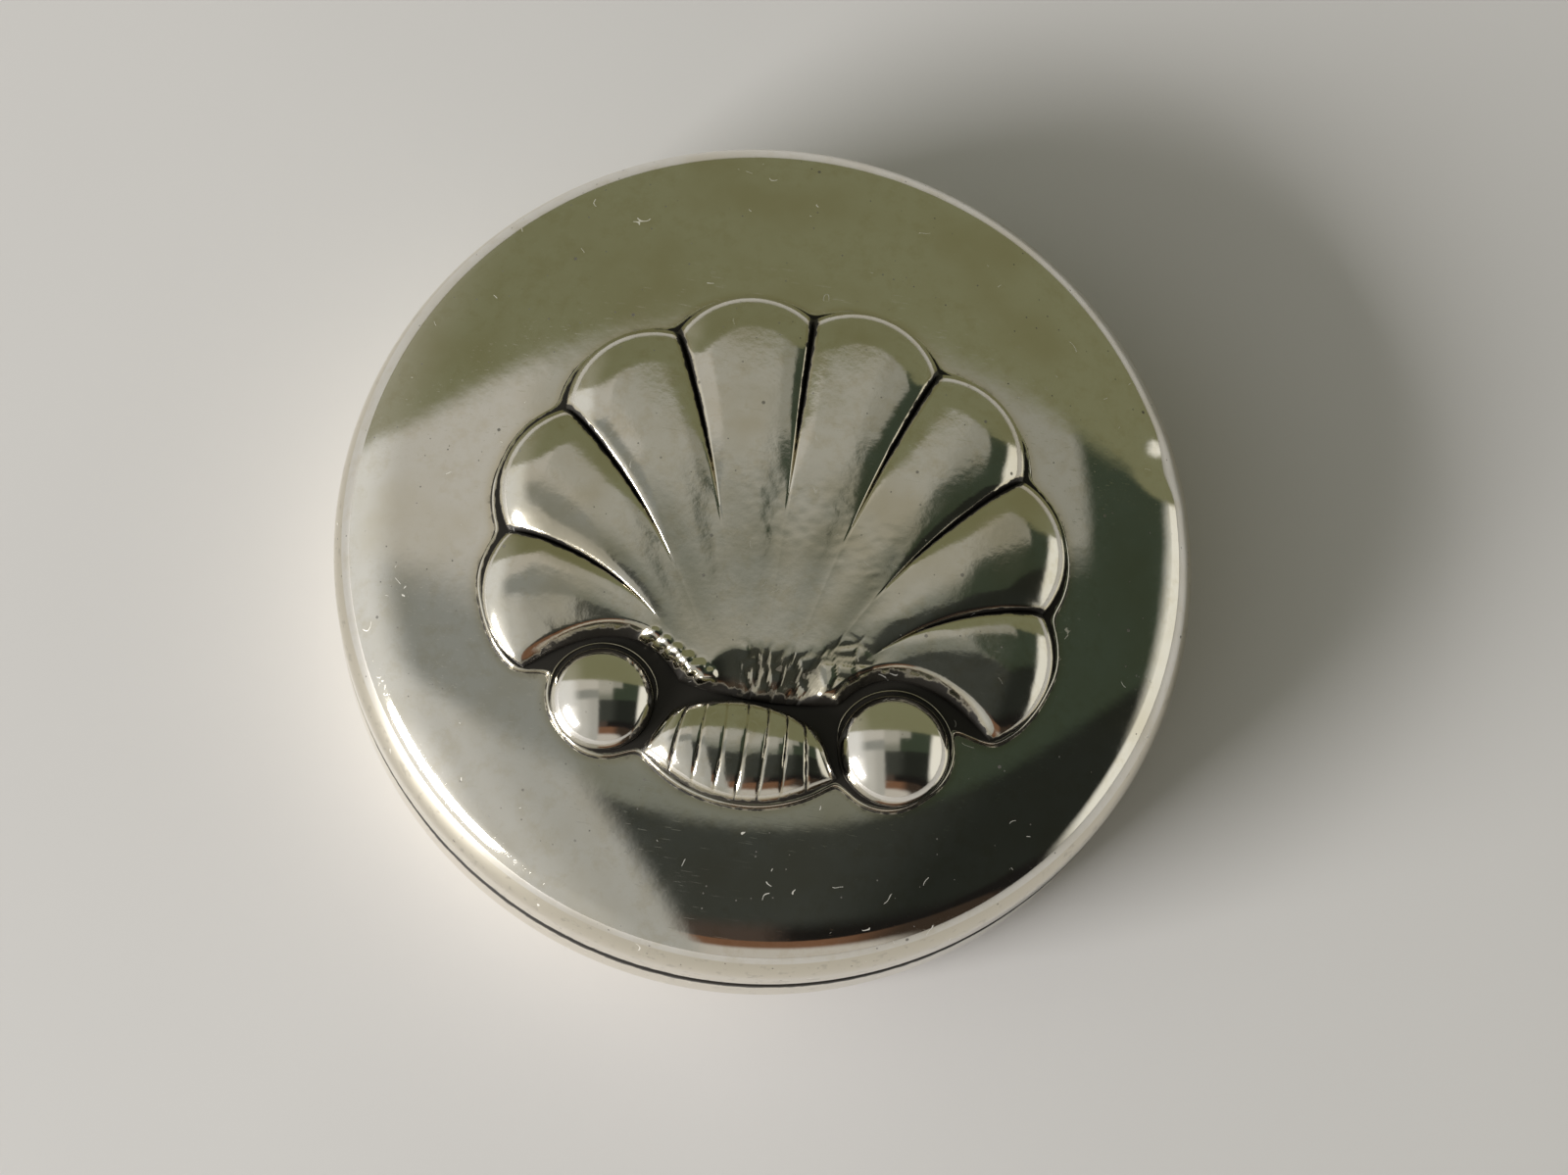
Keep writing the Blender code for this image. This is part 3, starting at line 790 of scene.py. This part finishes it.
def build_barrel(material):
    """The ribbed barrel: a domed form with grooves cut from its upper to its lower edge."""
    shares = np.linspace(0, 1, BARREL_RIBS * RIB_COLUMNS + 1)
    falls = (1 - np.cos(np.linspace(0, math.pi, BARREL_ROWS + 1))) / 2
    share, fall = np.meshgrid(shares, falls)
    lean = RIB_LEANING * (0.5 - fall) * (1 - 2 * share)
    bent = share + lean + RIB_WAVER * np.sin(7 * share + 3 * fall)
    across = 2 * ((np.clip(bent, 0, 0.9999) * BARREL_RIBS) % 1) - 1
    dome = rounded(np.abs(2 * fall - 1)) ** 0.9 * rounded(np.abs(2 * share - 1) ** 2.4)
    to_groove = (1 - np.abs(across)) * 0.5
    deep = 0.5 + 0.5 * np.sin(5.1 * bent * BARREL_RIBS + 6.0 * fall + 1.1 * np.sin(9 * fall))
    deep[(bent * BARREL_RIBS < 1.5) | (bent * BARREL_RIBS > BARREL_RIBS - 1.5)] = 1
    groove = (FAINT_GROOVE + DEEP_GROOVE * deep) * np.exp(-((to_groove / RIB_GROOVE_WIDTH) ** 1.6))
    cut = RIB_BOW * across**2 + groove
    height = EDGE_RELIEF + dome * (BARREL_RELIEF - EDGE_RELIEF) - cut * np.minimum(1, dome * 1.6)
    plan = barrel_point(share, fall)
    place = np.column_stack([plan.reshape(-1, 2), np.zeros(share.size)])
    size, seed, depth = BARREL_UNEVENNESS
    height += depth * soft_noise(place, size, seed).reshape(share.shape)
    to_end = np.minimum(fall, 1 - fall) * BARREL_DEPTH
    to_side = np.minimum(share, 1 - share) * BARREL_SPAN
    in_groove = (FAINT_OXIDE + DEEP_OXIDE * deep) * np.exp(-((to_groove / RIB_OXIDE_WIDTH) ** 2))
    border = 0.85 * np.exp(-np.minimum(to_end, to_side) / BARREL_BORDER_OXIDE)
    crevice = np.maximum(in_groove, border)
    barrel = relief_object("barrel_ribs", plan, PIECE_FOOT + height, crevice, material)
    settle(barrel, "lid", ["barrel_bead"])


BEAD_STEPS = 96
BALL_FOOT = 0.10  # level of the ball's lower edge
VALLEY_START, VALLEY_LEVEL = 0.03, 0.03  # where the valley round it begins, outside the ball, and its level
LIP_OFFSET, LIP_HALF_WIDTH, LIP_HEIGHT = 0.22, 0.05, 0.11
BEAD_FOOT = -0.04


def build_bead(name, node, centre, radius, top, material):
    """A ball-topped bead with a thin lip round its far side, square to the lid's surface."""
    ground = lid_top(*centre)
    rise = top - ground - PIECE_FOOT
    lip = radius + LIP_OFFSET
    profile = joined(
        ellipse_arc((0, BALL_FOOT), radius, rise - BALL_FOOT, 90, 0, 40),
        [(radius + VALLEY_START, VALLEY_LEVEL), (lip - LIP_HALF_WIDTH, VALLEY_LEVEL)],
        ellipse_arc((lip, VALLEY_LEVEL), LIP_HALF_WIDTH, LIP_HEIGHT, 180, 0, 8),
        [(lip + LIP_HALF_WIDTH, BEAD_FOOT), (0, BEAD_FOOT)],
    )
    points = turned_points(profile, BEAD_STEPS)
    level = np.repeat(profile[:, 1], BEAD_STEPS)
    reach = np.repeat(profile[:, 0], BEAD_STEPS)
    farness = smooth(-0.2, 0.5, points[:, 1] / np.maximum(reach, CLOSE))
    brim = reach > radius + 0.01
    narrowing = (1 - farness) * (reach - radius - VALLEY_START) / np.maximum(reach, 1)
    points[:, :2] *= np.where(brim, 1 - narrowing, 1)[:, None]
    on_lip = brim & (level > VALLEY_LEVEL)
    points[:, 2] -= np.where(on_lip, (1 - farness) * (level - VALLEY_LEVEL), 0)

    above = np.clip(level - BALL_FOOT, 0, None)
    # oxide round the ball's foot; its greater darkness and reach on the far side is painted shade
    ball = (0.55 + 0.40 * farness) * np.exp(-above / (0.05 + 0.16 * farness))
    crevice = np.where(brim, np.where(level > 0.09, 0.9 - 0.7 * farness, 0.95), ball)
    out = (centre @ centre) / CROWN_RADIUS**2
    fall = 2 * (CROWN_BOW + 4 * CROWN_ROLL * out**3) / CROWN_RADIUS**2
    slope = Vector((fall * centre[0], fall * centre[1], 1))
    turn = Vector((0, 0, 1)).rotation_difference(slope).to_matrix()
    points = points @ np.array(turn).T + [centre[0], centre[1], ground + PIECE_FOOT]
    bead = mesh_object(name, points, grid_faces(len(profile), BEAD_STEPS, True), material, crevice)
    settle(bead, "lid", [node])


PLATE_CORE = (0.0, 0.35, 0.6, 0.75)  # shares of the way out at which its flat middle has a ring
PLATE_RINGS = 26  # from there to the edge
PLATE_EDGE_INSET = 0.02
PLATE_EDGE = (  # (distance out, height over the plate's top, crevice value) of each ring of its rounded edge
    (0.0, 0.0, 0.0),
    (0.04, -0.03, 0.0),
    (0.06, -0.10, 0.1),
    (0.06, -0.24, 0.5),
    (0.09, -0.34, 0.85),
    (0.16, -0.39, 0.6),
)


def build_plate(material):
    """The thin back plate: a bright rounded edge, with oxide where the pieces stand on it."""
    reach = np.linalg.norm(PLATE_OUTLINE - FAN_CENTRE, axis=1)[:, None]
    rays = (PLATE_OUTLINE - FAN_CENTRE) / reach
    core = PLATE_CORE[-1]
    outer = [core + (1 - core) * (k / PLATE_RINGS) ** 0.7 for k in range(1, PLATE_RINGS)]
    rings, values = [], []
    for share in [*PLATE_CORE, *outer]:
        rings.append((FAN_CENTRE + rays * reach * share, PLATE_TOP))
        values.append(smooth(0.04, 0.12, reach[:, 0] * (1 - share)))
    for out, height, dark in PLATE_EDGE:
        rings.append((FAN_CENTRE + rays * (reach + out - PLATE_EDGE_INSET), PLATE_TOP + height))
        values.append(np.full(len(reach), dark))
    rings.append((FAN_CENTRE + rays * 0.0, -SINK))
    values.append(np.full(len(reach), 0.5))
    points = np.concatenate([np.column_stack([p, lid_top(p[:, 0], p[:, 1]) + h]) for p, h in rings])
    faces = grid_faces(len(rings), PLATE_STEPS, True)
    plate = mesh_object("back_plate", points, faces, material, np.concatenate(values))
    settle(plate, "lid", ["ornament_plate"])


# ---------------------------------------------------------------- floor, light and camera
TILT = math.radians(73.3)  # the camera's elevation
TURN = math.radians(-6.2)  # its azimuth from the front
ROLL = math.radians(14.9)
DISTANCE = 160.0
LENS = 78.0
SENSOR_WIDTH = 36
NEAR_CLIP = 0.005  # metres
CENTRE_SHIFT = (0.0134, -0.0154)


def camera_axes():
    """(position in millimetres, right, up, back) of the camera."""
    back = Vector((math.sin(TURN) * math.cos(TILT), -math.cos(TURN) * math.cos(TILT), math.sin(TILT)))
    level = Vector((0, 0, 1)).cross(back).normalized()
    upright = back.cross(level)
    right = math.cos(ROLL) * level + math.sin(ROLL) * upright
    up = math.cos(ROLL) * upright - math.sin(ROLL) * level
    return Vector((0, 0, RIM)) + back * DISTANCE, right, up, back


def level_axes():
    """The picture's rightward and upward directions, laid level."""
    _, right, up, _ = camera_axes()
    return Vector((right.x, right.y, 0)).normalized(), Vector((up.x, up.y, 0)).normalized()


def make_camera():
    place, right, up, back = camera_axes()
    data = bpy.data.cameras.new("camera")
    data.lens = LENS
    data.sensor_width = SENSOR_WIDTH
    data.shift_x, data.shift_y = CENTRE_SHIFT
    data.clip_start = NEAR_CLIP
    camera = bpy.data.objects.new("camera", data)
    camera.matrix_world = Matrix.Translation(place * MM) @ Matrix((right, up, back)).transposed().to_4x4()
    bpy.context.scene.collection.objects.link(camera)
    bpy.context.scene.camera = camera


TABLE_SIZE = 3000
TABLE_DROP = 0.02  # how far the table lies below the cup's foot
TABLE_TONES = (0.745, 0.74, 0.75, 1), (0.765, 0.76, 0.77, 1)
TABLE_ROUGHNESS = 0.5


def make_table():
    """A pale table, very slightly mottled."""
    nodes = Nodes("pale_table")
    tone = nodes.ramp(nodes.noise(30, detail=2), 0.3, 0.7)
    nodes.put(nodes.shader.inputs["Base Color"], nodes.mix(tone, *TABLE_TONES))
    nodes.shader.inputs["Roughness"].default_value = TABLE_ROUGHNESS
    half = TABLE_SIZE / 2
    plan = ((-half, -half), (half, -half), (half, half), (-half, half))
    corners = [Vector((x, y, -TABLE_DROP)) for x, y in plan]
    data = bpy.data.meshes.new("floor")
    data.from_pydata([list(c * MM) for c in corners], [], [(0, 1, 2, 3)])
    data.materials.append(nodes.material)
    made = bpy.data.objects.new("floor", data)
    bpy.context.scene.collection.objects.link(made)


def make_world():
    """A soft room: a bright left side, a grey ceiling, an olive far wall and a dim right side."""
    across, far = level_axes()
    world = bpy.data.worlds.new("room")
    world.use_nodes = True
    bpy.context.scene.world = world
    tree = world.node_tree
    place = tree.nodes.new("ShaderNodeTexCoord").outputs["Generated"]

    def along(axis):
        made = tree.nodes.new("ShaderNodeVectorMath")
        made.operation = "DOT_PRODUCT"
        tree.links.new(place, made.inputs[0])
        made.inputs[1].default_value = axis
        return made.outputs["Value"]

    def ramp(value, low, high):
        made = tree.nodes.new("ShaderNodeMapRange")
        made.interpolation_type = "SMOOTHSTEP"
        tree.links.new(value, made.inputs["Value"])
        made.inputs["From Min"].default_value = low
        made.inputs["From Max"].default_value = high
        return made.outputs["Result"]

    def mix(share, first, second):
        made = tree.nodes.new("ShaderNodeMix")
        made.data_type = "RGBA"
        tree.links.new(share, made.inputs[0])
        for socket, value in ((6, first), (7, second)):
            if isinstance(value, bpy.types.NodeSocket):
                tree.links.new(value, made.inputs[socket])
            else:
                made.inputs[socket].default_value = (*value, 1)
        return made.outputs[2]

    def blend(axis, low, high, first, second):
        """first where the direction's share along an axis is low, and second where it is high."""
        return mix(ramp(axis, low, high), first, second)

    sideways = along(across)
    forward = along(far)
    slanted = along(far + 0.08 * across)

    # above and to the right: the grey ceiling, and a dim wall that holds a pale panel
    dim = (0.040, 0.052, 0.034)
    overhead = blend(forward, 0.24, 0.02, (0.37, 0.36, 0.31), (0.19, 0.195, 0.16))
    panel = blend(sideways, 0.40, 0.46, (0.28, 0.275, 0.23), dim)
    right_side = blend(forward, 0.23, 0.28, dim, panel)
    ceiling = blend(sideways, 0.16, 0.24, overhead, right_side)

    # near: a dark shape, a darker and rusty edge below it, and the pale table's light below that
    shape = blend(sideways, 0.10, 0.40, (0.042, 0.045, 0.038), (0.018, 0.020, 0.016))
    low = blend(sideways, 0.04, 0.14, (0.065, 0.048, 0.038), (0.011, 0.010, 0.009))
    rust = blend(sideways, 0.20, 0.45, (0.17, 0.088, 0.050), (0.040, 0.028, 0.020))
    shaded = blend(forward, -0.50, -0.64, shape, low)
    shaded = blend(forward, -0.70, -0.74, shaded, rust)
    shaded = blend(forward, -0.86, -0.94, shaded, (0.48, 0.45, 0.40))

    # left: a grey wall, and the bright light beyond it
    wall = blend(forward, 0.27, 0.18, (0.48, 0.46, 0.41), (0.24, 0.245, 0.22))
    beside = blend(sideways, -0.25, -0.50, (0.38, 0.375, 0.34), (0.50, 0.49, 0.45))
    left = blend(forward, 0.06, -0.04, wall, beside)
    bright = blend(forward, -0.08, -0.24, (0.70, 0.69, 0.65), (0.95, 0.93, 0.88))
    bright = blend(forward, -0.64, -0.80, bright, (0.58, 0.56, 0.51))

    room = blend(forward, 0.00, -0.05, ceiling, shaded)
    room = blend(sideways, -0.10, -0.17, room, left)
    room = blend(sideways, -0.52, -0.80, room, bright)
    room = blend(sideways, 0.80, 0.90, room, (0.82, 0.80, 0.71))
    olive = blend(sideways, -0.35, -0.80, (0.18, 0.18, 0.10), (0.30, 0.29, 0.21))
    lit = blend(slanted, 0.41, 0.46, room, olive)
    tree.links.new(lit, tree.nodes["Background"].inputs["Color"])
    tree.nodes["Background"].inputs["Strength"].default_value = 1.0


WINDOW_LEFT, WINDOW_NEAR = 0.89, 0.45  # the direction that it stands in
WINDOW_DISTANCE, WINDOW_HEIGHT = 620, 250
WINDOW_SIZE = 330, 210
WINDOW_POWER = 5.5
WINDOW_COLOUR = (1.0, 0.97, 0.94)


def make_window():
    """A window's light from the left, a little on the near side."""
    across, far = level_axes()
    side = (-WINDOW_LEFT * across - WINDOW_NEAR * far).normalized()
    place = side * WINDOW_DISTANCE + Vector((0, 0, WINDOW_HEIGHT))
    data = bpy.data.lights.new("window", "AREA")
    data.shape = "RECTANGLE"
    data.size = WINDOW_SIZE[0] * MM
    data.size_y = WINDOW_SIZE[1] * MM
    data.energy = WINDOW_POWER
    data.color = WINDOW_COLOUR
    light = bpy.data.objects.new("window", data)
    aim = (-place).normalized().to_track_quat("-Z", "Y").to_matrix().to_4x4()
    light.matrix_world = Matrix.Translation(place * MM) @ aim
    bpy.context.scene.collection.objects.link(light)


# ---------------------------------------------------------------- the object
LID_SILVER = silver(
    "lid_silver", (0.86, 0.84, 0.79), 0.055, haze=0.75, grime=1.0, scratches=1.0, pebble=0.0006
)
INNER_SILVER = silver(
    "collar_silver", (0.80, 0.78, 0.73), 0.26, haze=0.8, grime=0.6, scratches=0.4, pebble=0.0
)
RELIEF_SILVER = silver(
    "ornament_silver", (0.82, 0.80, 0.74), 0.10, haze=1.0, grime=0.9, scratches=0.5, pebble=0.004
)
BEAD_SILVER = silver(
    "bead_silver_finish", (0.90, 0.88, 0.84), 0.10, haze=0.4, grime=0.3, scratches=0.3, pebble=0.0015
)

make_camera()
build_cup(LID_SILVER)
build_collar(INNER_SILVER)
build_lid(LID_SILVER)
build_plate(RELIEF_SILVER)
build_fan(RELIEF_SILVER)
build_bead("left_ball", "bead_left", LEFT_BEAD, LEFT_RADIUS, LEFT_HIGH[2], BEAD_SILVER)
build_bead("right_ball", "bead_right", RIGHT_BEAD, RIGHT_RADIUS, RIGHT_HIGH[2], BEAD_SILVER)
build_barrel(RELIEF_SILVER)
make_table()
make_world()
make_window()
bpy.context.scene.view_settings.view_transform = "Standard"
